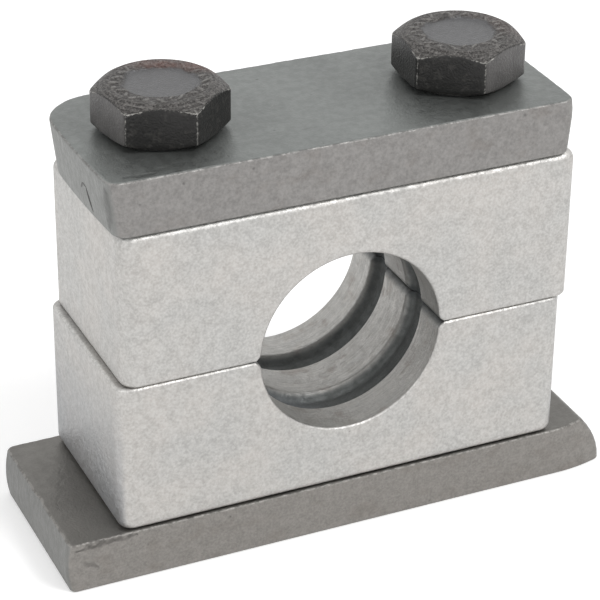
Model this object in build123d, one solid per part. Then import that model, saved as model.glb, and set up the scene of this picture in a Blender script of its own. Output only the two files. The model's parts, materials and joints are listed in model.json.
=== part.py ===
from build123d import *
from math import radians, tan
import os

# Split tube clamp: two cast jaws between a weld plate and a cover plate, held
# by two hexagon bolts that screw into the weld plate. All sizes in mm.
# Origin: centre of the weld plate's underside. X runs along the plates,
# Y along the tube, Z up.

# --- Tube and jaws --------------------------------------------------------
tube_diameter = 28.0
jaw_length = 70.0
jaw_width = 29.0
jaw_height = 23.4            # one jaw, from its plate to the parting face
jaw_corner_radius = 2.2      # the four upright corners
jaw_outer_edge_radius = 1.5  # round the face that meets a plate
parting_edge_chamfer = 0.5   # round the parting face, and the bore's rims
mouth_radius = 1.5           # where the bore runs out into the parting face
jaw_offset = 0.5             # how far each casting's outside sits off its bore

# Two grooves run round the bore and leave a land at each end and one between.
groove_pitch = 12.0          # from one groove's middle to the other's
groove_mouth = 5.1
groove_floor = 2.4
groove_depth = 1.3

# --- Bolts ----------------------------------------------------------------
bolt_spacing = 45.8
bolt_diameter = 10.0
bolt_length = 60.0           # under the head
bolt_tip_chamfer = 1.2
bolt_hole_clearance = 0.5    # on the radius, through the jaws and the cover
thread_clearance = 0.05      # on the radius, in the weld plate

head_width = 17.0            # across the flats
head_height = 7.0
head_corner_radius = 1.2
head_crown_radius = 7.6      # flat part of the top, inside the chamfer
head_crown_angle = 30.0      # slope of the top chamfer, in degrees
head_base_radius = 8.4       # where the chamfer under the hexagon begins
head_base_angle = 17.0
washer_face_radius = 7.9
washer_face_height = 0.6
head_dish_radius = 4.4       # shallow recess that forging leaves on top
head_dish_depth = 0.25
left_head_turn = 39.5        # degrees that each head stopped at
right_head_turn = 26.0

# --- Weld plate: flat bar, sheared at both ends -----------------------------
weld_plate_length = 87.6
weld_plate_set_in = 0.1      # how far its long sides stand inside the jaws'
weld_plate_width = jaw_width - 2 * weld_plate_set_in
weld_plate_thickness = 8.0
weld_left_swell = 0.5        # how far the left end swells at half thickness
weld_right_lean = 3.6        # how far the right end leans out, top to bottom
weld_right_belly = 0.9       # how far it swells past that slope
weld_taper = 1.3             # how far each long side pulls in at the right end
weld_taper_length = 8.0
weld_front_corner_radius = 0.8
weld_back_corner_radius = 1.2

# --- Cover plate: flat bar, cropped to bowed ends ---------------------------
cover_length = 71.5
cover_width = jaw_width      # bar of the jaws' width
cover_thickness = 8.3
cover_offset = -0.75         # its middle, from the middle between the bolts
cover_left_bow = 0.5
cover_right_bow = 0.3
cover_left_undercut = 1.0    # how far the left end draws in, top to bottom
cover_right_undercut = 0.5   # and the right end, below its crest
cover_right_roll = 0.3       # how far the right end rolls over above its crest
cover_right_crest = 0.7      # the crest's level, as a share of the thickness
cover_back_left_radius = 7.5
cover_corner_radius = 2.0    # the other three corners

bar_edge_chamfer = 0.4       # the worn top edges of both plates

# --- Places that follow from the sizes above --------------------------------
bore_radius = tube_diameter / 2
parting_level = weld_plate_thickness + jaw_height
cover_level = parting_level + jaw_height
head_level = cover_level + cover_thickness
bolt_hole_radius = bolt_diameter / 2 + bolt_hole_clearance
tapped_hole_radius = bolt_diameter / 2 + thread_clearance
left_bolt_x = -bolt_spacing / 2
right_bolt_x = bolt_spacing / 2

STANDING = (Align.CENTER, Align.CENTER, Align.MIN)
HANGING = (Align.CENTER, Align.CENTER, Align.MAX)


def bolt_holes(radius, low, high):
    """The two upright holes that the bolts go through, between two levels."""
    hole = Cylinder(radius, high - low, align=STANDING)
    return Pos(left_bolt_x, 0, low) * hole + Pos(right_bolt_x, 0, low) * hole


def edges_at(solid, level):
    """The edges that lie flat at one level."""
    return solid.edges().filter_by_position(Axis.Z, level - 0.001, level + 0.001)


# --- Jaws -------------------------------------------------------------------
def jaw_section():
    """A slab seen along the tube, with half the bore rounded into its top."""
    slab = Pos(0, -jaw_height / 2) * Rectangle(2 * jaw_length, jaw_height)
    section = slab - Circle(bore_radius)
    mouth_corners = section.vertices().filter_by(
        lambda corner: abs(abs(corner.X) - bore_radius) < 0.001
    )
    return fillet(mouth_corners, mouth_radius)


def jaw_block():
    """The casting's outside, with upright corners rounded, its top at zero."""
    block = Box(jaw_length, jaw_width, jaw_height, align=HANGING)
    return fillet(block.edges().filter_by(Axis.Z), jaw_corner_radius)


def rim_edges(jaw):
    """The chain round the parting faces and along the bore's two rims."""
    seam_reach = bore_radius + mouth_radius + 0.001
    seams = jaw.edges().filter_by(Axis.Y).filter_by_position(
        Axis.X, -seam_reach, seam_reach
    )
    uprights = jaw.edges().filter_by(Axis.Z)
    return jaw.edges() - seams - uprights - edges_at(jaw, -jaw_height)


def groove_ring(middle):
    """One groove's ring, a trapezium turned about the tube's axis."""
    half_mouth = groove_mouth / 2
    half_floor = groove_floor / 2
    floor_radius = bore_radius + groove_depth
    trapezium = make_face(
        Polyline(
            (0, middle - half_mouth),
            (bore_radius, middle - half_mouth),
            (floor_radius, middle - half_floor),
            (floor_radius, middle + half_floor),
            (bore_radius, middle + half_mouth),
            (0, middle + half_mouth),
            close=True,
        )
    )
    return revolve(trapezium, Axis.Y)


def jaw(offset):
    """One casting, parting face up at zero, its outside moved by offset."""
    section = extrude(Plane.XZ * jaw_section(), jaw_width, both=True)
    body = Pos(offset, 0, 0) * jaw_block() & section
    body = chamfer(rim_edges(body), parting_edge_chamfer)
    body = fillet(edges_at(body, -jaw_height), jaw_outer_edge_radius)
    body -= groove_ring(-groove_pitch / 2) + groove_ring(groove_pitch / 2)
    return body - bolt_holes(bolt_hole_radius, -jaw_height, 0)


def lower_jaw():
    """The casting that stands on the weld plate."""
    return Pos(0, 0, parting_level) * jaw(-jaw_offset)


def upper_jaw():
    """The same casting turned over onto the lower one."""
    return Pos(0, 0, parting_level) * Rot(0, 180, 0) * jaw(-jaw_offset)


# --- Plates -----------------------------------------------------------------
def weld_plate_plan():
    """The weld plate from above; the shear pulled its right end narrower."""
    left = -weld_plate_length / 2
    right = weld_plate_length / 2
    taper_start = right - weld_taper_length
    side_y = weld_plate_width / 2
    end_y = side_y - weld_taper
    return make_face(
        [
            Line((left, side_y), (left, -side_y)),
            Line((left, -side_y), (taper_start, -side_y)),
            TangentArc((taper_start, -side_y), (right, -end_y), tangent=(1, 0)),
            Line((right, -end_y), (right, end_y)),
            TangentArc((taper_start, side_y), (right, end_y), tangent=(1, 0)),
            Line((taper_start, side_y), (left, side_y)),
        ]
    )


def weld_plate_side():
    """The weld plate from the front: one end swells and one leans out."""
    left = -weld_plate_length / 2
    left_edge = left + weld_left_swell
    right = weld_plate_length / 2
    top = weld_plate_thickness
    right_top = right - weld_right_lean
    belly = right - weld_right_lean / 2 + weld_right_belly
    return make_face(
        [
            Line((right, 0), (left_edge, 0)),
            ThreePointArc((left_edge, 0), (left, top / 2), (left_edge, top)),
            Line((left_edge, top), (right_top, top)),
            ThreePointArc((right_top, top), (belly, top / 2), (right, 0)),
        ]
    )


def weld_plate():
    """The plate that is welded down, with a tapped hole for each bolt."""
    bar = extrude(weld_plate_plan(), weld_plate_thickness)
    bar &= extrude(Plane.XZ * weld_plate_side(), weld_plate_width, both=True)
    left_corners = bar.edges().sort_by(Axis.X).filter_by_position(
        Axis.Z, 0.4 * weld_plate_thickness, 0.6 * weld_plate_thickness
    )[:2]
    front, back = left_corners.sort_by(Axis.Y)
    bar = fillet(back, weld_back_corner_radius)
    front = bar.edges().sort_by_distance(front.center())[0]
    bar = fillet(front, weld_front_corner_radius)
    bar = chamfer(edges_at(bar, weld_plate_thickness), bar_edge_chamfer)
    return bar - bolt_holes(tapped_hole_radius, 0, weld_plate_thickness)


def cover_plan(left_draw, right_draw):
    """The cover plate from above, with each end drawn in by the given amount."""
    left = -cover_length / 2 + left_draw
    right = cover_length / 2 - right_draw
    left_corner = left + cover_left_bow
    right_corner = right - cover_right_bow
    side_y = cover_width / 2
    left_bow = ThreePointArc((left_corner, side_y), (left, 0), (left_corner, -side_y))
    right_bow = ThreePointArc((right_corner, -side_y), (right, 0), (right_corner, side_y))
    front = Line(left_bow @ 1, right_bow @ 0)
    back = Line(right_bow @ 1, left_bow @ 0)
    plan = make_face([left_bow, front, right_bow, back])
    back_left = plan.vertices().sort_by_distance((left_corner, side_y))[0]
    plan = fillet(back_left, cover_back_left_radius)
    sharp = plan.vertices().filter_by(lambda corner: corner.Y < 0 or corner.X > 0)
    return fillet(sharp, cover_corner_radius)


def cover_bar():
    """The cropped length of bar: its ends draw in below and roll over above."""
    crest = cover_right_crest * cover_thickness
    left_at_crest = (1 - cover_right_crest) * cover_left_undercut
    foot_plan = cover_plan(cover_left_undercut, cover_right_undercut)
    crest_plan = Pos(0, 0, crest) * cover_plan(left_at_crest, 0)
    top_plan = Pos(0, 0, cover_thickness) * cover_plan(0, cover_right_roll)
    return loft([foot_plan, crest_plan, top_plan], ruled=True)


def cover_plate():
    """The plate that the bolt heads press on."""
    bar = chamfer(edges_at(cover_bar(), cover_thickness), bar_edge_chamfer)
    bar = Pos(cover_offset, 0, cover_level) * bar
    return bar - bolt_holes(bolt_hole_radius, cover_level, head_level)


# --- Bolts ------------------------------------------------------------------
def bolt_head():
    """A forged hexagon head on its washer face, its underside at zero."""
    across_flats = RegularPolygon(head_width / 2, 6, major_radius=False)
    outline = fillet(across_flats.vertices(), head_corner_radius)
    hexagon = extrude(Pos(0, 0, washer_face_height) * outline,
                      head_height - washer_face_height)

    # Turning the head's profile gives the chamfers above and below.
    reach = 0.6 * head_width
    base_rise = (reach - head_base_radius) * tan(radians(head_base_angle))
    crown_drop = (reach - head_crown_radius) * tan(radians(head_crown_angle))
    profile = make_face(
        Plane.XZ
        * Polyline(
            (0, washer_face_height),
            (head_base_radius, washer_face_height),
            (reach, washer_face_height + base_rise),
            (reach, head_height - crown_drop),
            (head_crown_radius, head_height),
            (0, head_height),
            close=True,
        )
    )
    head = hexagon & revolve(profile, Axis.Z)
    head += Cylinder(washer_face_radius, washer_face_height, align=STANDING)
    dish = Cylinder(head_dish_radius, head_dish_depth, align=HANGING)
    return head - Pos(0, 0, head_height) * dish


def bolt(x, turn):
    """A whole bolt, its head on the cover plate, its tip in the weld plate."""
    shank = Cylinder(bolt_diameter / 2, bolt_length, align=HANGING)
    shank = chamfer(shank.edges().sort_by(Axis.Z)[0], bolt_tip_chamfer)
    return Pos(x, 0, head_level) * Rot(0, 0, turn) * (bolt_head() + shank)


def main():
    pieces = {
        "weld_plate": weld_plate(),
        "lower_jaw": lower_jaw(),
        "upper_jaw": upper_jaw(),
        "cover_plate": cover_plate(),
        "bolt_left": bolt(left_bolt_x, left_head_turn),
        "bolt_right": bolt(right_bolt_x, right_head_turn),
    }
    os.makedirs("parts", exist_ok=True)
    for name, solid in pieces.items():
        export_step(solid, f"parts/{name}.step")


main()
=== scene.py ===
import json
import math

import bmesh
import bpy
import numpy as np
from mathutils import Matrix, Vector


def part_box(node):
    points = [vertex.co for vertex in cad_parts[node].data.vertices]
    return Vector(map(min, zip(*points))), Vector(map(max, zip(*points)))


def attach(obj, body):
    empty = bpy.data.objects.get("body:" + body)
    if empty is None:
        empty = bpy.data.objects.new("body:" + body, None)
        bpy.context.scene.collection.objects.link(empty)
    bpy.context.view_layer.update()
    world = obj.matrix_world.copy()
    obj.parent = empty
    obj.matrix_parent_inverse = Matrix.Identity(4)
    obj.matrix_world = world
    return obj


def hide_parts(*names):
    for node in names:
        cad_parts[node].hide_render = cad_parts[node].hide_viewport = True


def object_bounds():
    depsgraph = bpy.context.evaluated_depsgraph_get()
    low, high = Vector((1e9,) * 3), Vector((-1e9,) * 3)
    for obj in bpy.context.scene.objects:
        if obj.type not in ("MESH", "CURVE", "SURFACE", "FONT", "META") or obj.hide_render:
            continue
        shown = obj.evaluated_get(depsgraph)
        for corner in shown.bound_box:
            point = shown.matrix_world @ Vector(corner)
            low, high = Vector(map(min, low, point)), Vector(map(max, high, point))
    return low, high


# The looks of a split tube clamp: two tumbled aluminium jaws between a sheared
# weld plate and a cropped cover plate, held by two blackened hexagon bolts.
# Sizes are in metres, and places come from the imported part.

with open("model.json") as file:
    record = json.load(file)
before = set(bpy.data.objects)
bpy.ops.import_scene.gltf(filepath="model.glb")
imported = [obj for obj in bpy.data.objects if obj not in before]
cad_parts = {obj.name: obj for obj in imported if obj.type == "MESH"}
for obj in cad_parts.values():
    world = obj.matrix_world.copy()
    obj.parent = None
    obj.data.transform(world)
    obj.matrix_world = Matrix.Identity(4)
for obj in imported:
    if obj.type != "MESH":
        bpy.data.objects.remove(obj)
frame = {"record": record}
cad_low, cad_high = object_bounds()

mm = 0.001
record = frame["record"]
bore_radius = record["mounts"][0]["dims"]["r_mm"] * mm
joint_places = {j["name"]: j.get("pos_m") for j in record["behaviour"]["joints"]}
bolt_places = {
    "bolt_left": joint_places["bolt_left_turn"],
    "bolt_right": joint_places["bolt_right_turn"],
}
parting_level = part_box("upper_jaw")[0].z
cover_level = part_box("cover_plate")[0].z

# Castings
jaw_corner = 2.2 * mm           # the four upright corners
jaw_outer_round = 1.5 * mm      # round the face that meets a plate
parting_round = 0.62 * mm       # round the parting face
bore_rim_round = 0.5 * mm       # where the bore meets a face
mouth_round = 1.5 * mm          # where the bore runs out into the parting face
groove_pitch = 12.0 * mm
groove_mouth = 5.1 * mm
groove_floor = 2.4 * mm
groove_depth = 1.3 * mm
groove_easing = 0.96            # how much of a flank is eased, so that its ends stay crisp
bolt_hole_radius = 5.5 * mm
face_ring = 0.15 * mm           # how far inside each flat face its shading is held
hole_overshoot = 1 * mm         # how far a cutter reaches past the faces that it opens

# Plates
bar_round = 0.42 * mm           # worn long edges of the bars
tapped_hole_radius = 5.05 * mm
bar_foot_round = 0.3 * mm
bar_wear = 0.6                  # how much of bar_round comes and goes along the edge
bar_wear_length = 14 * mm       # longest wave of that wear
end_margin = 1.0 * mm           # each plate end keeps its full shape this far in
weld_corners = (0.8 * mm, 0.8 * mm, 1.2 * mm, 0.9 * mm)     # from the front right, anticlockwise
weld_left_reach = 5.0 * mm      # how far from an end its shape is felt
weld_right_reach = 12.0 * mm
weld_left_swell = 0.5 * mm
weld_right_lean = 3.6 * mm
weld_right_belly = 0.9 * mm
weld_nick_place = -1.0 * mm
weld_nick_width = 0.8 * mm
weld_nick_depth = 0.28 * mm
weld_taper = 1.3 * mm
weld_taper_length = 8.0 * mm
cover_corners = (2.0 * mm, 2.0 * mm, 7.5 * mm, 2.0 * mm)
cover_end_reach = 10.0 * mm
cover_left_bow = 0.5 * mm
cover_right_bow = 0.3 * mm
cover_left_undercut = 1.0 * mm
cover_right_undercut = 0.5 * mm
cover_right_roll = 0.3 * mm
cover_right_crest = 0.7         # its level, as a share of the thickness

# Bolts
head_apothem = 8.5 * mm         # half of the 17 mm across the flats
head_height = 7.0 * mm
head_corner = 1.2 * mm
crown_radius = 7.6 * mm
crown_slope = math.radians(30)
crown_edge_round = 0.18 * mm
crest_inset = 0.05 * mm         # that round's middle, in from the flats
crest_drop = 0.02 * mm          # and down from the crown
edge_wear_width = 0.3 * mm      # bright wear along the crown's edge
corner_wear_width = 0.32 * mm   # and down the upright corners
base_radius = 8.4 * mm
base_slope = math.radians(17)
washer_radius = 7.9 * mm
washer_height = 0.6 * mm
washer_round = 0.15 * mm
dish_radius = 5.1 * mm
dish_depth = 0.25 * mm
dish_flank = 0.5 * mm
tick_height = 0.16 * mm         # the dashes reach the head's full height
tick_places = (5.8 * mm, 6.7 * mm)          # shortest and longest way from the axis
tick_lengths = (0.4 * mm, 0.95 * mm)
tick_widths = (0.26 * mm, 0.42 * mm)
shank_radius = 5.0 * mm
shank_length = 60.0 * mm
thread_length = 26.0 * mm
thread_pitch = 1.5 * mm
thread_depth = 0.85 * mm
thread_fall = 2.852             # how steeply the V's depth falls off, over one pitch
thread_root = 1.15              # above 1, so that the V's root is a little flat
tip_chamfer = 1.2 * mm

# Light
world_light = 0.8               # what the white world gives to matt surfaces
floor_glow = 0.25               # what the floor needs to look white where it is open
floor_gap = 0.02 * mm           # keeps the floor off the weld plate's underside

head_turns = {"bolt_left": math.radians(39.5), "bolt_right": math.radians(26.0)}


# --- Meshes -------------------------------------------------------------------
def smooth_step(value):
    """Eases 0 to 1: 3v^2 - 2v^3, with v held between 0 and 1."""
    v = np.clip(value, 0.0, 1.0)
    return v * v * (3.0 - 2.0 * v)


def ripple(along, seed, longest, waves=9):
    """Uneven line from -1 to 1: a sum of sines, each shorter than the last, with seeded phases."""
    rng = np.random.default_rng(seed)
    lengths = longest / np.arange(1, waves + 1) ** 1.1
    phases = rng.uniform(0, 2 * np.pi, waves)
    weights = rng.uniform(0.5, 1.0, waves) / np.arange(1, waves + 1) ** 0.5
    sines = np.sin(2 * np.pi * along[..., None] / lengths + phases)
    return (sines * weights).sum(-1) / weights.sum()


def rounded_rectangle(left, right, front, back, radii, step=0.5 * mm):
    """Outline of a rectangle, anticlockwise from above, each corner a quarter circle.

    radii go front right, back right, back left, front left. Returns the points
    and the outward unit normals, as two arrays of x and y.
    """
    corners = ((right, front, -90), (right, back, 0), (left, back, 90), (left, front, 180))
    points, normals = [], []
    for (x, y, start), radius in zip(corners, radii):
        cx = x - radius if x == right else x + radius
        cy = y + radius if y == front else y - radius
        turn = np.radians(start + np.linspace(0, 90, max(6, round(radius * 1.6 / step)) + 1))
        facing = np.stack([np.cos(turn), np.sin(turn)], -1)
        points.append(np.array([cx, cy]) + radius * facing)
        normals.append(facing)
    for side in (6, 4, 2, 0):
        # a straight run from one corner's end to the next one's start
        first, last = points[side // 2][-1], points[(side // 2 + 1) % 4][0]
        count = max(2, int(np.linalg.norm(last - first) / step))
        share = np.linspace(0, 1, count + 1)[1:-1, None]
        points.insert(side // 2 + 1, first + share * (last - first))
        normals.insert(side // 2 + 1, np.repeat(normals[side // 2][-1:], count - 1, 0))
    return np.concatenate(points), np.concatenate(normals)


def rim_profile(height, low_round, high_round, steps=7, walls=5):
    """Inset and level down a slab's side: a quarter circle, a wall and a quarter circle."""
    a = np.linspace(0, np.pi / 2, steps)
    low_inset, low_level = low_round * (1 - np.sin(a)), low_round * (1 - np.cos(a))
    wall = np.linspace(low_round, height - high_round, walls + 2)[1:-1]
    high_inset = high_round * (1 - np.cos(a))
    high_level = height - high_round * (1 - np.sin(a))
    inset = np.concatenate([low_inset, 0 * wall, high_inset])
    level = np.concatenate([low_level, wall, high_level])
    # one more ring inside each flat face keeps the face's shading flat
    inset = np.concatenate([[inset[0] + face_ring], inset, [inset[-1] + face_ring]])
    return inset, np.concatenate([[0.0], level, [height]])


def skin(name, rings):
    """Object from an array of rings (ring, point, xyz): quads between them, and a face across each end."""
    count, around = rings.shape[:2]
    i, j = np.meshgrid(np.arange(count - 1), np.arange(around), indexing="ij")
    k = (j + 1) % around
    quads = np.stack([i * around + j, i * around + k, (i + 1) * around + k, (i + 1) * around + j], -1)
    faces = quads.reshape(-1, 4).tolist()
    faces.append(list(range(around))[::-1])
    faces.append(list(range((count - 1) * around, count * around)))
    mesh = bpy.data.meshes.new(name)
    mesh.from_pydata(rings.reshape(-1, 3).tolist(), [], faces)
    mesh.update()
    piece = bpy.data.objects.new(name, mesh)
    bpy.context.collection.objects.link(piece)
    return piece


def cut(piece, *cutters):
    """Takes the cutters' shapes out of a piece, exactly, and deletes the cutters."""
    for cutter in cutters:
        change = piece.modifiers.new("cut", "BOOLEAN")
        change.operation, change.solver, change.object = "DIFFERENCE", "EXACT", cutter
    seen = piece.evaluated_get(bpy.context.evaluated_depsgraph_get())
    shape = bpy.data.meshes.new_from_object(seen)
    piece.modifiers.clear()
    old, piece.data = piece.data, shape
    bpy.data.meshes.remove(old)
    shape.name = piece.name
    for cutter in cutters:
        bpy.data.objects.remove(cutter)
    return piece


def finish_shading(piece, angle=32):
    """Smooth across gentle edges, crisp past the angle, and flat faces kept flat."""
    mesh = piece.data
    work = bmesh.new()
    work.from_mesh(mesh)
    bmesh.ops.remove_doubles(work, verts=work.verts, dist=1e-7)
    bmesh.ops.dissolve_degenerate(work, edges=work.edges, dist=1e-7)
    work.to_mesh(mesh)
    work.free()
    mesh.shade_smooth()
    mesh.set_sharp_from_angle(angle=math.radians(angle))
    weighted = piece.modifiers.new("flat_faces", "WEIGHTED_NORMAL")
    weighted.mode, weighted.weight, weighted.keep_sharp = "FACE_AREA", 80, True
    return piece


def hole_cutters(radius, low_level, high_level, around=96):
    """Two upright cylinders, one on each bolt's axis, that reach past both levels."""
    turn = np.linspace(0, 2 * np.pi, around, endpoint=False)
    low, high = low_level - hole_overshoot, high_level + hole_overshoot
    cutters = []
    for x, y, _ in bolt_places.values():
        ring = np.stack([x + radius * np.cos(turn), y + radius * np.sin(turn), 0 * turn], -1)
        cutters.append(skin("hole_cutter", np.stack([ring + [0, 0, low], ring + [0, 0, high]])))
    return cutters


# --- Jaws ---------------------------------------------------------------------
def groove_lift(y):
    """How far the bore's wall stands back at y: two trapeziums with eased flanks."""
    off = np.abs(np.abs(y) - groove_pitch / 2)
    share = (groove_mouth / 2 - off) / ((groove_mouth - groove_floor) / 2)
    return groove_depth * smooth_step(share * groove_easing + (1 - groove_easing) / 2)


def mouth_reach(angle):
    """The bore's radius at an angle below the parting face: the ray's way to a
    rounding of mouth_round that is tangent to the bore and to the parting face."""
    centre = bore_radius + mouth_round
    tangent = math.asin(mouth_round / centre)
    offset = tangent - np.clip(angle, 0, tangent)
    half_chord = np.sqrt(np.maximum(mouth_round**2 - (centre * np.sin(offset)) ** 2, 0))
    return centre * np.cos(offset) - half_chord


def bore_cutter(name, low_side):
    """What a jaw's bore takes away: for each angle about the tube's axis and each y,
    the largest of the mouth's reach, the groove's radius and the flared rim's."""
    half = (cad_high.y - cad_low.y) / 2
    rim = np.linspace(0, np.pi / 2, 8)
    inner = np.linspace(-half + bore_rim_round, half - bore_rim_round, 113)
    y = np.concatenate([
        [-half - hole_overshoot],
        -half + bore_rim_round * (1 - np.cos(rim)),
        inner[1:-1],
        (half - bore_rim_round * (1 - np.cos(rim)))[::-1],
        [half + hole_overshoot],
    ])
    outside = np.clip((np.abs(y) - half + bore_rim_round) / bore_rim_round, 0, 1)
    flare = bore_rim_round * (1 - np.sqrt(1 - outside**2))
    # in degrees from the parting face: close steps over the mouths, wide ones on the far side
    mouth_end = 7
    fine = np.linspace(0, mouth_end, 22)
    middle = np.linspace(mouth_end, 180 - mouth_end, 112)[1:-1]
    down = np.concatenate([fine, middle, 180 - fine[::-1]])
    turn = np.radians(np.concatenate([down, np.linspace(180, 360, 32)[1:-1]]))
    below = np.where(np.sin(turn) >= 0, np.minimum(turn, np.abs(np.pi - turn)), 0)
    wall = np.maximum(mouth_reach(below)[None, :], (bore_radius + groove_lift(y))[:, None])
    radius = wall + flare[:, None]
    side = -1 if low_side else 1
    x = radius * np.cos(turn)
    z = parting_level + side * radius * np.sin(turn)
    rings = np.stack([x, np.repeat(y[:, None], len(turn), 1), z], -1)
    return skin(name, rings if side < 0 else rings[:, ::-1])


def jaw(name, low_side):
    """One casting: a rounded block less half the bore and its two bolt holes."""
    low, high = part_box(name)
    plan, facing = rounded_rectangle(low.x, high.x, low.y, high.y, [jaw_corner] * 4)
    rounds = (jaw_outer_round, parting_round) if low_side else (parting_round, jaw_outer_round)
    inset, level = rim_profile(high.z - low.z, *rounds)
    flat = plan[None] - facing[None] * inset[:, None, None]
    rise = np.broadcast_to(level[:, None, None] + low.z, flat.shape[:2] + (1,))
    block = skin(name + "_casting", np.concatenate([flat, rise], -1))
    holes = hole_cutters(bolt_hole_radius, low.z, high.z)
    return finish_shading(cut(block, bore_cutter("bore_cutter", low_side), *holes))


# --- Plates -------------------------------------------------------------------
def bar_rings(plan, facing, low_level, height, seed):
    """A bar's skin, its top edge worn unevenly: the inset swells where the ripple is high."""
    inset, level = rim_profile(height, bar_foot_round, bar_round)
    steps = np.linalg.norm(np.roll(plan, -1, 0) - plan, axis=1)
    along = np.cumsum(steps)
    total = along[-1]
    # a whole number of the longest waves goes round the bar
    worn = 1 + bar_wear * ripple(along, seed, total / round(total / bar_wear_length))
    near_top = smooth_step((level - height + 2.2 * bar_round) / (2 * bar_round))
    swell = 1 + near_top[:, None] * (worn[None, :] - 1)
    flat = plan[None] - facing[None] * (inset[:, None] * swell)[..., None]
    rise = np.broadcast_to(level[:, None, None] + low_level, flat.shape[:2] + (1,))
    return np.concatenate([flat, rise], -1)


def near_end(distance, reach):
    """1 at a plate's end, eased to 0 at a reach from it."""
    return smooth_step((reach - distance) / (reach - end_margin))


def weld_plate():
    """Sheared bar. Its left end swells by a parabola in height and has a nick in its top
    edge; its right end leans out by a line and a parabola, and its sides draw in there
    by a square."""
    low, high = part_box("weld_plate")
    plan, facing = rounded_rectangle(low.x, high.x, low.y, high.y, weld_corners)
    height = high.z - low.z
    rings = bar_rings(plan, facing, low.z, height, seed=5)
    x, y, rise = rings[..., 0], rings[..., 1], (rings[..., 2] - low.z) / height
    near_left = near_end(x - low.x, weld_left_reach)
    nick = np.exp(-((y - weld_nick_place) / weld_nick_width) ** 2) * smooth_step((rise - 0.8) / 0.2)
    left_shift = weld_left_swell * (2 * rise - 1) ** 2 + weld_nick_depth * nick
    right_shift = weld_right_lean * rise - 4 * weld_right_belly * rise * (1 - rise)
    near_right = near_end(high.x - x, weld_right_reach)
    past = np.clip((x - high.x + weld_taper_length) / weld_taper_length, 0, 1)
    rings[..., 1] = y * (1 - weld_taper * past**2 / high.y)
    rings[..., 0] = x + left_shift * near_left - right_shift * near_right
    holes = hole_cutters(tapped_hole_radius, low.z, high.z)
    return finish_shading(cut(skin("weld_plate_bar", rings), *holes))


def cover_plate():
    """Cropped bar. Each end bows out by a parabola across the bar; the left one draws
    in evenly below, the right one below its crest, and it rolls over above that."""
    low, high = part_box("cover_plate")
    plan, facing = rounded_rectangle(
        low.x + cover_left_bow, high.x - cover_right_bow, low.y, high.y, cover_corners
    )
    height = high.z - low.z
    rings = bar_rings(plan, facing, low.z, height, seed=8)
    x, y, rise = rings[..., 0], rings[..., 1], (rings[..., 2] - low.z) / height
    across = 1 - (y / high.y) ** 2
    below = np.clip(1 - rise / cover_right_crest, 0, 1)
    above = np.clip((rise - cover_right_crest) / (1 - cover_right_crest), 0, 1)
    left_shift = cover_left_undercut * (1 - rise) - cover_left_bow * across
    right_shift = cover_right_undercut * below + cover_right_roll * above**1.5
    near_left = near_end(x - low.x, cover_end_reach)
    near_right = near_end(high.x - x, cover_end_reach)
    rings[..., 0] = x + left_shift * near_left - (right_shift - cover_right_bow * across) * near_right
    holes = hole_cutters(bolt_hole_radius, low.z, high.z)
    return finish_shading(cut(skin("cover_plate_bar", rings), *holes))


# --- Bolts --------------------------------------------------------------------
def hexagon_reach(turn):
    """Radius of a hexagon with rounded corners, corners at 0, 60, ... degrees: the
    flat's distance over a cosine, or the corner circle where that lies further in."""
    off = np.abs((turn + np.pi / 6) % (np.pi / 3) - np.pi / 6)
    flat = head_apothem / np.cos(np.pi / 6 - off)
    centre = head_apothem / math.cos(math.pi / 6) - head_corner / math.sin(math.pi / 3)
    round_end = math.pi / 6 - math.atan(centre * math.sin(math.pi / 6) / head_apothem)
    half_chord = np.sqrt(np.maximum(head_corner**2 - (centre * np.sin(off)) ** 2, 0))
    return np.where(off < round_end, centre * np.cos(off) + half_chord, flat)


def crown(radius):
    """The head's top: flat, then falling past the crown's radius along the chamfer."""
    return head_height - np.tan(crown_slope) * np.maximum(radius - crown_radius, 0)


def head_rings(turn):
    """Rings from the middle of the head's top, over its edge, down the flats and in below.

    Gives radius, level, wear and raised marks, four arrays of ring by angle. Wear is about
    1 along the crown's edge and the upright corners, and more where the two meet.
    """
    reach = hexagon_reach(turn)[None, :]
    top_share = np.concatenate([np.linspace(0.02, 0.94, 60), [0.965]])[:, None]
    top_r = np.concatenate([top_share * reach, reach - crown_edge_round])
    dish = dish_depth * smooth_step((dish_radius - top_r) / dish_flank + 0.5)
    ticks = raised_ticks(top_r, turn[None, :])
    top_z = crown(top_r) - tick_height * (1 - ticks) - dish
    edge_z = crown(reach) - tick_height
    crest_r, crest_z = reach - crest_inset, edge_z - crest_drop
    base = washer_height + np.tan(base_slope) * np.maximum(reach - base_radius, 0)
    share = np.linspace(0, 1, 12)[:, None]
    side_z = (edge_z - crown_edge_round) * (1 - share) + (base + 0.1 * mm) * share
    side_r = np.repeat(reach, 12, 0)
    under_r = np.stack([reach[0] - 0.06 * mm, 0 * turn + base_radius, 0 * turn + washer_radius])
    under_z = np.stack([base[0], 0 * turn + washer_height, 0 * turn + washer_height])
    foot_r = np.stack([0 * turn + washer_radius, 0 * turn + washer_radius - washer_round])
    foot_z = np.stack([0 * turn + 0.1 * mm, 0 * turn])
    radius = np.concatenate([top_r, crest_r, side_r, under_r, foot_r])
    level = np.concatenate([top_z, crest_z, side_z, under_z, foot_z])
    off_corner = np.abs((turn + np.pi / 6) % (np.pi / 3) - np.pi / 6)[None, :] * reach
    corner = np.where(radius > 0.93 * reach, smooth_step(1.1 - off_corner / corner_wear_width), 0)
    edge = smooth_step(1.15 - np.hypot(radius - reach, level - edge_z) / edge_wear_width)
    edge = edge * (0.75 + 0.55 * smooth_step(1.3 - off_corner / (2.4 * mm)))
    raised = np.concatenate([ticks, np.zeros((len(radius) - len(ticks), len(turn)))])
    return radius, level, np.maximum(edge, corner), raised


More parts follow.
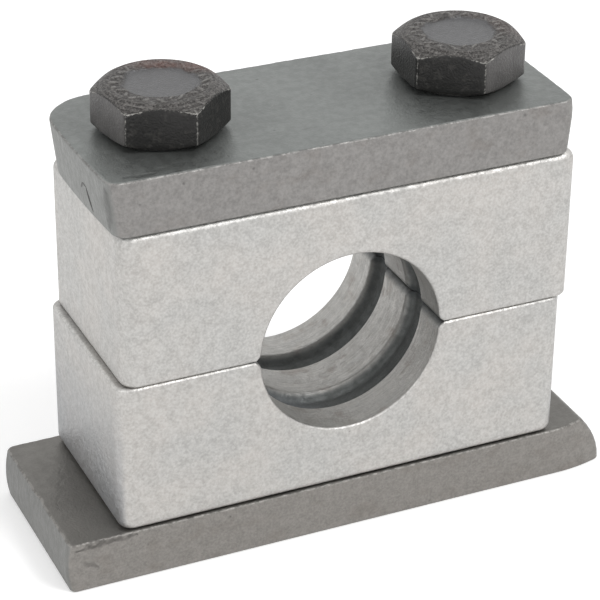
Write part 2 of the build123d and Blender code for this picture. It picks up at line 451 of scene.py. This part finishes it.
def raised_ticks(radius, turn):
    """Plain dashes round the head's flat ring, each a smooth bump across times one along."""
    rng = np.random.default_rng(3)
    height = 0 * radius * turn
    for start in np.radians(np.arange(0, 360, 15)):
        middle = start + math.radians(rng.uniform(-4, 4))
        ring = rng.uniform(*tick_places)
        length, width = rng.uniform(*tick_lengths), rng.uniform(*tick_widths)
        lean = rng.uniform(-1.1, 1.1)
        off = (turn - middle + np.pi) % (2 * np.pi) - np.pi
        along = np.abs(radius - ring) / length
        across = np.abs(off * radius + lean * (radius - ring)) / width
        dash = smooth_step(1.8 - 1.8 * across) * smooth_step(2.4 - 2.4 * along)
        height = np.maximum(height, dash)
    return height


def shank_rings(turn):
    """Rings down the shank: plain, then a helical V whose depth follows level over pitch less turn."""
    plain = np.linspace(0, -(shank_length - thread_length), 9)[1:]
    tip = -shank_length
    threaded = np.linspace(plain[-1], tip + 0.02 * mm, int(thread_length / thread_pitch * 8))[1:]
    level = np.concatenate([[-0.0], plain, threaded])[:, None]
    phase = (level / thread_pitch - turn[None, :] / (2 * np.pi)) % 1
    valley = np.clip(thread_root - thread_fall * np.abs(phase - 0.5), 0, 1)
    run_out = smooth_step((-(shank_length - thread_length) - level) / (2 * thread_pitch))
    radius = shank_radius - thread_depth * valley * run_out
    chamfer = shank_radius - tip_chamfer + (level - tip)
    radius = np.minimum(radius, np.maximum(chamfer, shank_radius - tip_chamfer))
    level = np.repeat(level, len(turn), 1)
    end = np.stack([0 * turn + (shank_radius - tip_chamfer) * 0.6, 0 * turn + 0.3 * mm])
    return np.concatenate([radius, end]), np.concatenate([level, 0 * end + tip])


def bolt(name):
    """A whole bolt as one skin: rings in polar form from the head's middle to the tip's."""
    x, y, z = bolt_places[name]
    nearest = np.linspace(-1, 1, 47)[:-1]
    sector = math.pi / 6 * np.sign(nearest) * np.abs(nearest) ** 1.3
    turn = (np.arange(6)[:, None] * np.pi / 3 + sector[None, :]).ravel()
    head_r, head_z, worn, raised = head_rings(turn)
    shank_r, shank_z = shank_rings(turn)
    radius = np.concatenate([head_r, shank_r])
    level = np.concatenate([head_z, shank_z])
    layers = {
        "worn": np.concatenate([worn, 0 * shank_r]),
        "raised": np.concatenate([raised, 0 * shank_r]),
        "from_axis": radius / mm,
    }
    facing = turn + head_turns[name]
    rings = np.stack([x + radius * np.cos(facing), y + radius * np.sin(facing), z + level], -1)
    piece = skin(name + "_forged", rings[::-1])
    for layer_name, value in layers.items():
        layer = piece.data.attributes.new(layer_name, "FLOAT", "POINT")
        layer.data.foreach_set("value", value[::-1].ravel().astype(np.float32))
    return finish_shading(piece, angle=40)


# --- Shader building ----------------------------------------------------------
def paint(red, green, blue):
    """The linear colour of three 8-bit display values."""
    shares = np.array([red, green, blue]) / 255
    curved = ((shares + 0.055) / 1.055) ** 2.4
    return tuple(np.where(shares < 0.04045, shares / 12.92, curved).tolist())


def scaled(colour, factor):
    """A linear colour made darker or lighter."""
    return tuple(factor * part for part in colour)


def plug(tree, value, socket):
    """Links a socket into another, or writes a plain value or colour."""
    if isinstance(value, bpy.types.NodeSocket):
        tree.links.new(value, socket)
    elif socket.type == "RGBA":
        socket.default_value = (*value, 1)
    else:
        socket.default_value = value


def node(tree, kind, inputs=None, **options):
    """Adds a shader node, sets its options and fills its inputs by name or number."""
    made = tree.nodes.new("ShaderNode" + kind)
    for option, value in options.items():
        setattr(made, option, value)
    for key, value in (inputs or {}).items():
        plug(tree, value, made.inputs[key])
    return made


def calc(tree, operation, *values):
    """What one Math node gives."""
    return node(tree, "Math", dict(enumerate(values)), operation=operation).outputs[0]


def times(tree, first, second):
    """A product of two values."""
    return calc(tree, "MULTIPLY", first, second)


def ramp(tree, value, start, end, low=0.0, high=1.0):
    """Eases from low to high while the value goes from start to end."""
    inputs = {0: value, 1: start, 2: end, 3: low, 4: high}
    return node(tree, "MapRange", inputs, interpolation_type="SMOOTHSTEP").outputs[0]


def mixed(tree, share, base, over):
    """A colour laid over a base one by a share."""
    return node(tree, "Mix", {0: share, 6: base, 7: over}, data_type="RGBA").outputs[2]


def laid(tree, base, mask, strength, over):
    """A colour laid over a base one where a mask is, at a strength from 0 to 1."""
    return mixed(tree, times(tree, mask, strength), base, over)


def vector(tree, operation, *values):
    """What one Vector Math node gives: a vector, and a number after it."""
    return node(tree, "VectorMath", dict(enumerate(values)), operation=operation).outputs


def scaled_vector(tree, base, factor):
    """A vector times a number."""
    return node(tree, "VectorMath", {0: base, "Scale": factor}, operation="SCALE").outputs[0]


def parts_of(tree, whole):
    """The x, y and z of a vector."""
    return node(tree, "SeparateXYZ", {0: whole}).outputs


def place_mm(tree, stretch=(1, 1, 1), shift=(0, 0, 0)):
    """Object coordinates in millimetres, stretched and shifted."""
    place = node(tree, "TexCoord").outputs["Object"]
    options = {"Scale": tuple(1000 * s for s in stretch), "Location": shift}
    return node(tree, "Mapping", {"Vector": place, **options}).outputs[0]


def noise(tree, place, size, detail=3.0, roughness=0.6):
    """Noise from 0 to 1 whose lumps measure about the given size, in millimetres."""
    scale = calc(tree, "DIVIDE", 1.0, size) if isinstance(size, bpy.types.NodeSocket) else 1 / size
    inputs = {"Vector": place, "Scale": scale, "Detail": detail, "Roughness": roughness}
    return node(tree, "TexNoise", inputs).outputs["Fac"]


def effect(name, inputs, outputs):
    """An empty shader group: gives its tree, what comes in and what goes out."""
    tree = bpy.data.node_groups.new(name, "ShaderNodeTree")
    for socket, value in inputs.items():
        kind = "Vector" if isinstance(value, tuple) else "Float"
        made = tree.interface.new_socket(socket, in_out="INPUT", socket_type="NodeSocket" + kind)
        made.default_value = value
    for socket in outputs:
        tree.interface.new_socket(socket, in_out="OUTPUT", socket_type="NodeSocketFloat")
    return tree, tree.nodes.new("NodeGroupInput").outputs, tree.nodes.new("NodeGroupOutput").inputs


def use(tree, group, **inputs):
    """Places an effect in a material with its own values, and gives its outputs."""
    made = tree.nodes.new("ShaderNodeGroup")
    made.node_tree = group
    for key, value in inputs.items():
        plug(tree, value, made.inputs[key.replace("_", " ")])
    return made.outputs


def grain_effect():
    """Clouds, mottling and speckle: three noises, each spread to fill 0 to 1."""
    sizes = {"Cloud mm": 12.0, "Mottle mm": 2.4, "Speckle mm": 0.5, "Shift": (0.0, 0.0, 0.0)}
    tree, given, out = effect("metal_grain", sizes, ("Cloud", "Mottle", "Speckle"))
    place = vector(tree, "ADD", place_mm(tree), given["Shift"])[0]
    plug(tree, ramp(tree, noise(tree, place, given["Cloud mm"], 2), 0.32, 0.68), out["Cloud"])
    plug(tree, ramp(tree, noise(tree, place, given["Mottle mm"], 4), 0.3, 0.7), out["Mottle"])
    plug(tree, ramp(tree, noise(tree, place, given["Speckle mm"], 2), 0.28, 0.72), out["Speckle"])
    return tree


def worn_and_highlit_edge_effect():
    """Rounded edges that face upwards, between a wall's normal and a top's.

    Gives where noise leaves them bright, as real wear and a painted highlight, and where it leaves them
    dulled.
    """
    inputs = {"Break up": 0.6, "Chip mm": 1.2}
    tree, given, out = effect("worn_edges", inputs, ("Worn", "Dulled"))
    upward = parts_of(tree, node(tree, "TexCoord").outputs["Normal"])[2]
    rounded = times(tree, ramp(tree, upward, 0.3, 0.62), ramp(tree, upward, 0.985, 0.9))
    chips = noise(tree, place_mm(tree), given["Chip mm"], 4, 0.7)
    lift = times(tree, calc(tree, "SUBTRACT", chips, 0.5), given["Break up"])
    plug(tree, ramp(tree, calc(tree, "MULTIPLY_ADD", lift, 3.0, rounded), 0.45, 1.0), out["Worn"])
    plug(tree, times(tree, rounded, ramp(tree, chips, 0.54, 0.44)), out["Dulled"])
    return tree


def pit_effect():
    """Round pits: a share of Voronoi cells, each with a pit of its own size about its point."""
    inputs = {"Spacing mm": 2.0, "Share": 0.3, "Size": 0.18, "Shift": (0.0, 0.0, 0.0)}
    tree, given, out = effect("small_pits", inputs, ("Pit",))
    place = vector(tree, "ADD", place_mm(tree), given["Shift"])[0]
    wobble = noise(tree, place, 0.4, 2)
    scale = calc(tree, "DIVIDE", 1.0, given["Spacing mm"])
    cell = node(tree, "TexVoronoi", {"Vector": place, "Scale": scale})
    random = parts_of(tree, cell.outputs["Color"])
    chosen = calc(tree, "LESS_THAN", random[0], given["Share"])
    size = times(tree, calc(tree, "MULTIPLY_ADD", random[1], 0.8, 0.2), given["Size"])
    uneven = calc(tree, "MULTIPLY_ADD", wobble, 1.2, 0.4)
    near = times(tree, cell.outputs["Distance"], uneven)
    plug(tree, times(tree, chosen, ramp(tree, near, size, 0.0)), out["Pit"])
    return tree


def scored_line_effect():
    """A scored line: 1 near the segment from Start to End, in mm, thinner at its ends.

    Plane weighs the axes in the distance: a small share for the axis across a face lets
    the line follow the face's curve, and keeps it off the face opposite.
    """
    inputs = {"Start": (0.0, 0.0, 0.0), "End": (1.0, 0.0, 0.0), "Plane": (1.0, 1.0, 1.0)}
    inputs.update({"Width mm": 0.2, "Waver mm": 0.3})
    tree, given, out = effect("scored_line", inputs, ("Line",))
    place = place_mm(tree)
    drift = node(tree, "TexNoise", {"Vector": place, "Scale": 0.5, "Detail": 2.0}).outputs["Color"]
    wander = scaled_vector(tree, vector(tree, "SUBTRACT", drift, (0.5, 0.5, 0.5))[0], given["Waver mm"])
    reach = vector(tree, "SUBTRACT", vector(tree, "ADD", place, wander)[0], given["Start"])[0]
    reach = vector(tree, "MULTIPLY", reach, given["Plane"])[0]
    span = vector(tree, "SUBTRACT", given["End"], given["Start"])[0]
    along = vector(tree, "DOT_PRODUCT", reach, span)[1]
    share = calc(tree, "DIVIDE", along, vector(tree, "DOT_PRODUCT", span, span)[1])
    held = node(tree, "Clamp", {0: share}).outputs[0]
    off = vector(tree, "DISTANCE", reach, scaled_vector(tree, span, held))[1]
    # the width is a parabola along the line, with a little left at each end
    middle = times(tree, held, calc(tree, "SUBTRACT", 1.0, held))
    taper = calc(tree, "MULTIPLY_ADD", middle, 2.8, 0.3)
    width = times(tree, taper, given["Width mm"])
    plug(tree, ramp(tree, calc(tree, "DIVIDE", off, width), 1.0, 0.2), out["Line"])
    return tree


effects = {
    "grain": grain_effect(),
    "edges": worn_and_highlit_edge_effect(),
    "pits": pit_effect(),
    "line": scored_line_effect(),
}


# --- Finishes -----------------------------------------------------------------
def start_finish(name):
    """A new material: its tree and its shader."""
    material = bpy.data.materials.new(name)
    material.use_nodes = True
    tree = material.node_tree
    return material, tree, tree.nodes["Principled BSDF"]


def raise_surface(tree, shader, layers):
    """Stacks Bump nodes: each layer is a height from 0 to 1 and its real depth in mm."""
    normal = None
    for height, depth in layers:
        inputs = {"Height": height, "Strength": 1.0, "Distance": depth * mm}
        if normal:
            inputs["Normal"] = normal
        normal = node(tree, "Bump", inputs).outputs[0]
    plug(tree, normal, shader.inputs["Normal"])


def casting_bore(tree, grain):
    """The bore's looks: machined lands, grooves dark with stain, a painted reflection low in the front
    groove, a painted highlight along the groove edges, and painted shade on the upper right and at the
    mouths, where the halves meet.

    Gives its colour, where the bore is, where its grooves are, and its turning marks.
    """
    x, y, z = parts_of(tree, place_mm(tree))
    up = calc(tree, "SUBTRACT", z, parting_level / mm)
    from_axis = calc(tree, "SQRT", calc(tree, "MULTIPLY_ADD", x, x, times(tree, up, up)))
    along = calc(tree, "ABSOLUTE", y)
    radius = bore_radius / mm
    half_width = (cad_high.y - cad_low.y) / 2 / mm
    inside = times(
        tree,
        ramp(tree, from_axis, radius + 2.1, radius + 1.6),
        ramp(tree, along, half_width - 0.15, half_width - 0.5),
    )
    # turning marks run round the bore: noise by the angle, drawn out, and by y, drawn in
    turn = calc(tree, "ARCTAN2", up, x)
    wrapped = {0: times(tree, turn, 4.0), 1: times(tree, y, 5.0)}
    streaks = noise(tree, node(tree, "CombineXYZ", wrapped).outputs[0], 1.6, 4)
    streaks = ramp(tree, streaks, 0.3, 0.7)
    patches = ramp(tree, noise(tree, place_mm(tree, shift=(7, 3, 5)), 3.4, 3), 0.52, 0.75)
    colour = laid(tree, paint(191, 189, 185), streaks, 0.6, paint(162, 162, 161))
    colour = laid(tree, colour, grain["Speckle"], 0.25, paint(140, 138, 135))
    colour = laid(tree, colour, patches, 0.45, paint(132, 121, 112))
    # the grooves are dark, and a painted reflection makes them less so low down at the front, on the left
    groove_edge = groove_mouth / 2 / mm
    off_groove = calc(tree, "ABSOLUTE", calc(tree, "SUBTRACT", along, groove_pitch / 2 / mm))
    groove = ramp(tree, off_groove, groove_edge + 0.15, groove_edge - 0.8)
    painted_groove_reflection = times(tree, ramp(tree, y, -3.0, -6.0), ramp(tree, x, 2.0, -8.0))
    painted_groove_reflection = times(tree, painted_groove_reflection, ramp(tree, up, -2.0, -8.0))
    stain_and_painted_reflection = laid(tree, paint(90, 94, 94), painted_groove_reflection, 0.8, paint(124, 130, 136))
    colour = laid(tree, colour, groove, 0.85, stain_and_painted_reflection)
    # painted highlight: a thin light line along the groove edges, broken by the turning marks
    off_edge = calc(tree, "ABSOLUTE", calc(tree, "SUBTRACT", off_groove, groove_edge))
    painted_rim_highlight = times(tree, ramp(tree, off_edge, 0.35, 0.05), streaks)
    colour = laid(tree, colour, painted_rim_highlight, 0.1, paint(184, 186, 186))
    # painted shade: the upper half is darker on the right, and both halves where they meet
    shaded = times(tree, ramp(tree, x, 5.0, 9.0), ramp(tree, up, -0.5, 1.5))
    colour = laid(tree, colour, shaded, 0.24, paint(98, 98, 97))
    painted_parting_shade = ramp(tree, calc(tree, "ABSOLUTE", up), 1.5, 0.3)
    colour = laid(tree, colour, painted_parting_shade, 0.8, paint(84, 87, 88))
    return colour, inside, groove, streaks


def tumbled_casting(name, shift):
    """Pale tumbled aluminium, with worn rims that also carry a painted highlight, painted shade low on the
    ends and a machined bore.
    """
    material, tree, shader = start_finish(name)
    grain = use(tree, effects["grain"], Cloud_mm=11.0, Mottle_mm=1.2, Speckle_mm=0.36, Shift=shift)
    edges = use(tree, effects["edges"], Break_up=0.8, Chip_mm=0.7)
    pores = use(tree, effects["pits"], Spacing_mm=2.6, Share=0.22, Size=0.13, Shift=shift)["Pit"]
    colour = mixed(tree, grain["Cloud"], paint(181, 177, 173), paint(173, 172, 170))
    colour = laid(tree, colour, grain["Mottle"], 0.34, paint(154, 152, 149))
    colour = laid(tree, colour, grain["Speckle"], 0.55, paint(204, 203, 200))
    colour = laid(tree, colour, pores, 0.5, paint(118, 116, 114))
    # upward-facing rims: real wear and a painted highlight
    colour = laid(tree, colour, edges["Worn"], 0.3, paint(226, 225, 222))
    colour = laid(tree, colour, edges["Dulled"], 0.3, paint(140, 139, 137))
    # painted shade: the ends are darker and bluish low down, near the weld plate
    shade_from, shade_to = 34.0, 9.0
    across = calc(tree, "ABSOLUTE", parts_of(tree, node(tree, "TexCoord").outputs["Normal"])[0])
    low_down = ramp(tree, parts_of(tree, place_mm(tree))[2], shade_from, shade_to)
    painted_low_shade = times(tree, ramp(tree, across, 0.5, 0.9), low_down)
    colour = laid(tree, colour, painted_low_shade, 0.34, paint(120, 128, 140))
    bore, inside, groove, streaks = casting_bore(tree, grain)
    plug(tree, mixed(tree, inside, colour, bore), shader.inputs["Base Color"])

    rough = ramp(tree, grain["Mottle"], 0.0, 1.0, 0.42, 0.56)
    rough = calc(tree, "MULTIPLY_ADD", times(tree, groove, inside), 0.22, rough)
    plug(tree, rough, shader.inputs["Roughness"])
    shader.inputs["Metallic"].default_value = 0.88
    raise_surface(tree, shader, [
        (grain["Mottle"], 0.036),
        (grain["Speckle"], 0.017),
        (calc(tree, "SUBTRACT", 1.0, pores), 0.05),
        (times(tree, streaks, inside), 0.02),
    ])
    return material


def scored(tree, colour, lines):
    """Lays scored lines over a colour. Gives the colour, and where the lines are.

    Each line is (start, end, plane, width, waver, darkness), in millimetres.
    """
    scores = None
    for start, finish, plane, width, waver, darkness in lines:
        values = {"Start": start, "End": finish, "Plane": plane, "Width_mm": width, "Waver_mm": waver}
        line = times(tree, use(tree, effects["line"], **values)["Line"], darkness)
        colour = mixed(tree, line, colour, paint(42, 40, 39))
        scores = calc(tree, "MAXIMUM", scores, line) if scores else line
    return colour, scores


def bar_steel(name, shift, top, side, end, lines):
    """Bare hot-rolled bar: a smooth skin above, mottled sides, dragged ends, and scored lines.

    top, side and end are colours.
    """
    material, tree, shader = start_finish(name)
    grain = use(tree, effects["grain"], Cloud_mm=14.0, Mottle_mm=1.3, Speckle_mm=0.38, Shift=shift)
    edges = use(tree, effects["edges"], Break_up=1.1, Chip_mm=1.1)
    pits = use(tree, effects["pits"], Spacing_mm=2.7, Share=0.5, Size=0.14, Shift=shift)["Pit"]
    normal = node(tree, "TexCoord").outputs["Normal"]
    across, _, upward = parts_of(tree, vector(tree, "ABSOLUTE", normal)[0])
    on_top = ramp(tree, upward, 0.6, 0.95)
    on_end = ramp(tree, across, 0.6, 0.9)
    drag = ramp(tree, noise(tree, place_mm(tree, (1.6, 1.6, 0.22), shift), 0.9, 3), 0.3, 0.7)
    patches = noise(tree, place_mm(tree, (1, 1, 1.6), shift), 5.0, 3)
    brown = ramp(tree, patches, 0.5, 0.72, 0.0, 0.25)
    sides = laid(tree, side, grain["Mottle"], 0.38, scaled(side, 0.72))
    sides = laid(tree, sides, grain["Speckle"], 0.5, scaled(side, 1.4))
    sides = mixed(tree, brown, sides, paint(114, 106, 99))
    ends = laid(tree, end, drag, 0.32, scaled(end, 0.68))
    above = mixed(tree, grain["Cloud"], top, scaled(top, 0.84))
    above = laid(tree, above, grain["Speckle"], 0.22, scaled(top, 1.25))
    above = laid(tree, above, grain["Mottle"], 0.18, scaled(top, 0.7))
    colour = mixed(tree, on_end, sides, ends)
    colour = mixed(tree, on_top, colour, above)
    colour = laid(tree, colour, pits, 0.6, scaled(side, 0.3))
    # upward-facing edges: real wear and a painted highlight
    colour = laid(tree, colour, edges["Worn"], 0.25, paint(172, 170, 167))
    colour = laid(tree, colour, edges["Dulled"], 0.45, scaled(side, 0.4))
    colour, scores = scored(tree, colour, lines)
    plug(tree, colour, shader.inputs["Base Color"])

    rough = calc(tree, "MULTIPLY_ADD", grain["Mottle"], 0.12, ramp(tree, on_top, 0, 1, 0.5, 0.36))
    plug(tree, rough, shader.inputs["Roughness"])
    shader.inputs["Metallic"].default_value = 0.85
    beside = calc(tree, "SUBTRACT", 1.0, on_top)
    raise_surface(tree, shader, [
        (times(tree, grain["Mottle"], ramp(tree, beside, 0, 1, 0.25, 1.0)), 0.06),
        (grain["Speckle"], 0.014),
        (times(tree, drag, on_end), 0.045),
        (calc(tree, "SUBTRACT", 1.0, pits), 0.06),
        (calc(tree, "SUBTRACT", 1.0, scores), 0.14),
    ])
    return material


def heading(degrees):
    """The x and y of a unit step in a direction, anticlockwise from +X."""
    return math.cos(math.radians(degrees)), math.sin(math.radians(degrees))


def blackened_bolt(name, shift, rust_side, rust, painted_reflection_side):
    """Black oxide over a forged bolt: a rough ring round a smooth dish, bare bright worn edges.

    The ring is tinged with rust towards rust_side, by a share of rust, and the flat that
    faces the side given last is painted a paler grey: a painted reflection. Both are
    directions in degrees. shift is the bolt's place in millimetres.
    """
    row_pitch = 0.62
    material, tree, shader = start_finish(name)
    grain = use(tree, effects["grain"], Cloud_mm=4.0, Mottle_mm=0.9, Speckle_mm=0.3, Shift=shift)
    worn = node(tree, "Attribute", attribute_name="worn").outputs["Fac"]
    raised = node(tree, "Attribute", attribute_name="raised").outputs["Fac"]
    from_axis = node(tree, "Attribute", attribute_name="from_axis").outputs["Fac"]
    facing = node(tree, "TexCoord").outputs["Normal"]
    upward = ramp(tree, parts_of(tree, facing)[2], 0.55, 0.85)

    # the head's top: a smooth dish with an uneven border, and rough forging round it
    uneven = calc(tree, "MULTIPLY_ADD", grain["Cloud"], 0.8, from_axis)
    dish = ramp(tree, uneven, dish_radius / mm + 0.8, dish_radius / mm + 0.1)
    dish_top = times(tree, upward, dish)
    ring = times(tree, upward, calc(tree, "SUBTRACT", 1.0, dish))
    rough_ring = times(tree, ramp(tree, grain["Mottle"], 0.3, 0.8), ring)
    flecks = times(tree, ramp(tree, grain["Speckle"], 0.62, 0.9), ring)
    hollows = times(tree, ramp(tree, grain["Speckle"], 0.4, 0.1), ring)
    rim = times(tree, ring, ramp(tree, from_axis, 6.7, 7.1))
    rows = calc(tree, "SINE", times(tree, from_axis, 2 * math.pi / row_pitch))
    rows = times(tree, rows, rim)

    # the flats: scuffs, one flat paler grey by a painted reflection, and bare metal where the edges are
    # worn
    scuffs = times(tree, ramp(tree, grain["Mottle"], 0.62, 0.95), 0.3)
    aimed = vector(tree, "DOT_PRODUCT", facing, (*heading(painted_reflection_side), 0.0))[1]
    unevenly = ramp(tree, grain["Cloud"], 0, 1, 1, 0.7)
    painted_flat_reflection = times(tree, ramp(tree, aimed, 0.86, 0.97), unevenly)
    chips = noise(tree, place_mm(tree, shift=shift), 0.45, 4, 0.75)
    bare = ramp(tree, calc(tree, "MULTIPLY_ADD", chips, 2.6, worn), 2.05, 2.7)

    # rust grows from the middle of the head towards its side
    x, y, _ = parts_of(tree, vector(tree, "SUBTRACT", place_mm(tree), shift)[0])
    toward_x, toward_y = heading(rust_side)
    rusty = calc(tree, "MULTIPLY_ADD", x, toward_x, times(tree, y, toward_y))
    rusty = times(tree, ramp(tree, rusty, 2.5, 6.5), ring)
    rusty = times(tree, rusty, ramp(tree, grain["Cloud"], 0, 1, 0.35 * rust, rust))

    colour = mixed(tree, grain["Cloud"], paint(30, 29, 28), paint(20, 19, 18))
    colour = mixed(tree, scuffs, colour, paint(72, 70, 67))
    # painted reflection: one flat paler grey
    colour = mixed(tree, painted_flat_reflection, colour, paint(82, 80, 79))
    colour = mixed(tree, ring, colour, paint(58, 55, 53))
    colour = laid(tree, colour, rough_ring, 0.7, paint(92, 89, 87))
    colour = laid(tree, colour, hollows, 0.8, paint(26, 24, 23))
    colour = laid(tree, colour, flecks, 0.45, paint(124, 122, 119))
    colour = laid(tree, colour, rows, 0.22, paint(130, 128, 124))
    colour = laid(tree, colour, raised, 0.65, paint(134, 132, 129))
    colour = mixed(tree, dish_top, colour, paint(103, 103, 104))
    colour = mixed(tree, rusty, colour, paint(112, 78, 70))
    colour = mixed(tree, bare, colour, paint(156, 154, 150))
    plug(tree, colour, shader.inputs["Base Color"])

    rough = calc(tree, "MULTIPLY_ADD", ring, 0.1, ramp(tree, grain["Mottle"], 0, 1, 0.3, 0.38))
    plug(tree, rough, shader.inputs["Roughness"])
    metal = calc(tree, "MAXIMUM", bare, dish_top)
    plug(tree, ramp(tree, metal, 0, 1, 0.0, 0.8), shader.inputs["Metallic"])
    shader.inputs["Specular IOR Level"].default_value = 0.36
    drawn = noise(tree, place_mm(tree, (2.2, 2.2, 0.25), shift), 0.9, 3)
    raise_surface(tree, shader, [
        (rough_ring, 0.15),
        (grain["Speckle"], 0.04),
        (rows, 0.015),
        (drawn, 0.05),
        (calc(tree, "SUBTRACT", 1.0, bare), 0.05),
    ])
    return material


# --- Scene --------------------------------------------------------------------
def camera():
    """A long lens from the front left, above, at the object's middle."""
    azimuth, elevation, roll = (math.radians(v) for v in (-24.63, 28.91, 0.64))
    distance = 352.97 * mm
    target = np.array([-1.60, 0.0, 31.29]) * mm
    back = np.array([
        math.sin(azimuth) * math.cos(elevation),
        -math.cos(azimuth) * math.cos(elevation),
        math.sin(elevation),
    ])
    level_right = np.array([math.cos(azimuth), math.sin(azimuth), 0.0])
    level_up = np.cross(back, level_right)
    # rolled about the line of sight
    right = level_right * math.cos(roll) + level_up * math.sin(roll)
    up = level_up * math.cos(roll) - level_right * math.sin(roll)
    data = bpy.data.cameras.new("camera")
    data.sensor_width, data.lens = 36.0, 144.1662
    data.clip_start, data.clip_end = 0.01, 20
    seen_from = bpy.data.objects.new("camera", data)
    bpy.context.collection.objects.link(seen_from)
    place = np.eye(4)
    place[:3, 0], place[:3, 1], place[:3, 2] = right, up, back
    place[:3, 3] = target + back * distance
    seen_from.matrix_world = Matrix(place.tolist())
    bpy.context.scene.camera = seen_from


def lamp(name, place, size, power):
    """A soft square lamp that faces the object's middle."""
    middle = Vector((0, 0, 0.035))
    data = bpy.data.lights.new(name, "AREA")
    data.size, data.energy = size, power
    light = bpy.data.objects.new(name, data)
    bpy.context.collection.objects.link(light)
    light.location = place
    light.rotation_euler = (middle - Vector(place)).to_track_quat("-Z", "Y").to_euler()


def seen_directly(tree):
    """1 for rays from the camera and for those mirrored or let through."""
    path = node(tree, "LightPath").outputs
    seen = calc(tree, "MAXIMUM", path["Is Camera Ray"], path["Is Glossy Ray"])
    return calc(tree, "MAXIMUM", seen, path["Is Transmission Ray"])


def floor_finish():
    """Matt white that looks white where it is open, keeps the shadow, and is clear from below."""
    material, tree, shader = start_finish("floor_white")
    shader.inputs["Base Color"].default_value = (0.9, 0.9, 0.9, 1)
    shader.inputs["Roughness"].default_value = 0.95
    shader.inputs["Specular IOR Level"].default_value = 0.1
    shader.inputs["Emission Color"].default_value = (1, 1, 1, 1)
    glow = times(tree, seen_directly(tree), floor_glow)
    plug(tree, glow, shader.inputs["Emission Strength"])
    clear = node(tree, "BsdfTransparent").outputs[0]
    behind = node(tree, "NewGeometry").outputs["Backfacing"]
    either = node(tree, "MixShader", {0: behind, 1: shader.outputs[0], 2: clear}).outputs[0]
    plug(tree, either, tree.nodes["Material Output"].inputs["Surface"])
    return material


def studio():
    """White world, pale floor and soft lamps."""
    world = bpy.data.worlds.new("studio")
    bpy.context.scene.world = world
    world.use_nodes = True
    tree = world.node_tree
    background = tree.nodes["Background"]
    background.inputs["Color"].default_value = (1, 1, 1, 1)
    strength = ramp(tree, seen_directly(tree), 0, 1, world_light, 1.0)
    plug(tree, strength, background.inputs["Strength"])
    bpy.ops.mesh.primitive_plane_add(size=3)
    floor = bpy.context.object
    floor.name = "floor"
    floor.location.z = cad_low.z - floor_gap
    floor.data.materials.append(floor_finish())
    lamp("key", (0.42, -0.56, 0.95), 0.35, 5.0)
    lamp("fill", (-0.9, -0.5, 0.6), 0.6, 2.0)


def plate_scores():
    """The scored lines of the weld plate and of the cover plate, in millimetres."""
    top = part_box("weld_plate")[1].z / mm
    cover_left, cover_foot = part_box("cover_plate")[0].x / mm, cover_level / mm
    cover_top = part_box("cover_plate")[1].z / mm
    flat, left_end, solid = (1.0, 1.0, 0.1), (0.05, 1.0, 1.0), (1.0, 1.0, 1.0)

    def on_left_end(start, finish, width, waver, darkness):
        ends = [(cover_left, y, cover_foot + rise) for y, rise in (start, finish)]
        return *ends, left_end, width, waver, darkness

    weld_lines = (
        # faint marks beside the jaw
        ((-42.0, -5.0, top), (-37.0, 6.0, top), flat, 0.5, 2.5, 0.1),
        ((37.5, -8.0, top), (37.0, 2.0, top), flat, 0.4, 1.6, 0.1),
        # chips along the front edge, near the left end
        ((-42.5, -14.4, top - 0.7), (-33.0, -14.4, top - 0.6), solid, 0.75, 2.2, 0.5),
        ((-42.6, -14.0, top - 2.6), (-39.0, -14.4, top - 4.6), solid, 0.6, 1.8, 0.3),
    )
    cover_lines = (
        # a small hooked crack
        on_left_end((-5.2, 4.0), (-6.7, 0.9), 0.55, 0.5, 1.0),
        on_left_end((-4.1, 4.3), (-5.2, 4.0), 0.34, 0.5, 0.8),
        on_left_end((-3.3, 3.2), (-4.1, 4.3), 0.3, 0.5, 0.7),
        # smudges at the front left corner, and a faint scratch on the top
        ((-33.5, -13.0, cover_top), (-28.5, -13.3, cover_top), solid, 0.7, 1.8, 0.22),
        on_left_end((-12.7, 7.4), (-12.5, 1.0), 1.5, 1.4, 0.34),
        ((-9.0, -9.5, cover_top), (6.0, -7.0, cover_top), flat, 0.2, 2.0, 0.07),
    )
    return weld_lines, cover_lines


def dress():
    """Puts each finished piece in its CAD node's place."""
    weld_lines, cover_lines = plate_scores()
    weld_colours = paint(122, 120, 116), paint(133, 130, 126), paint(131, 131, 129)
    cover_colours = paint(131, 134, 132), paint(135, 133, 131), paint(138, 139, 137)
    weld_finish = bar_steel("weld_plate_steel", (0.0, 0.0, 0.0), *weld_colours, weld_lines)
    cover_finish = bar_steel("cover_plate_steel", (40.0, 9.0, 3.0), *cover_colours, cover_lines)
    lower_finish = tumbled_casting("lower_jaw_aluminium", (3.0, 1.0, 8.0))
    upper_finish = tumbled_casting("upper_jaw_aluminium", (60.0, 20.0, 0.0))
    left_axis = tuple(v / mm for v in bolt_places["bolt_left"])
    right_axis = tuple(v / mm for v in bolt_places["bolt_right"])
    left_finish = blackened_bolt("bolt_left_oxide", left_axis, 60, 0.6, 189.5)
    right_finish = blackened_bolt("bolt_right_oxide", right_axis, 20, 0.12, 296)
    pieces = (
        (weld_plate(), "weld_plate", "base", weld_finish, "plate_steel"),
        (jaw("lower_jaw", True), "lower_jaw", "base", lower_finish, "jaw_aluminium"),
        (jaw("upper_jaw", False), "upper_jaw", "top", upper_finish, "jaw_aluminium"),
        (cover_plate(), "cover_plate", "top", cover_finish, "plate_steel"),
        (bolt("bolt_left"), "bolt_left", "left_bolt", left_finish, "bolt_steel"),
        (bolt("bolt_right"), "bolt_right", "right_bolt", right_finish, "bolt_steel"),
    )
    for piece, name, body, finish, slot in pieces:
        piece.data.materials.clear()
        piece.data.materials.append(finish)
        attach(piece, body)
        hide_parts(name)


dress()
camera()
studio()
bpy.context.scene.view_settings.view_transform = "Standard"
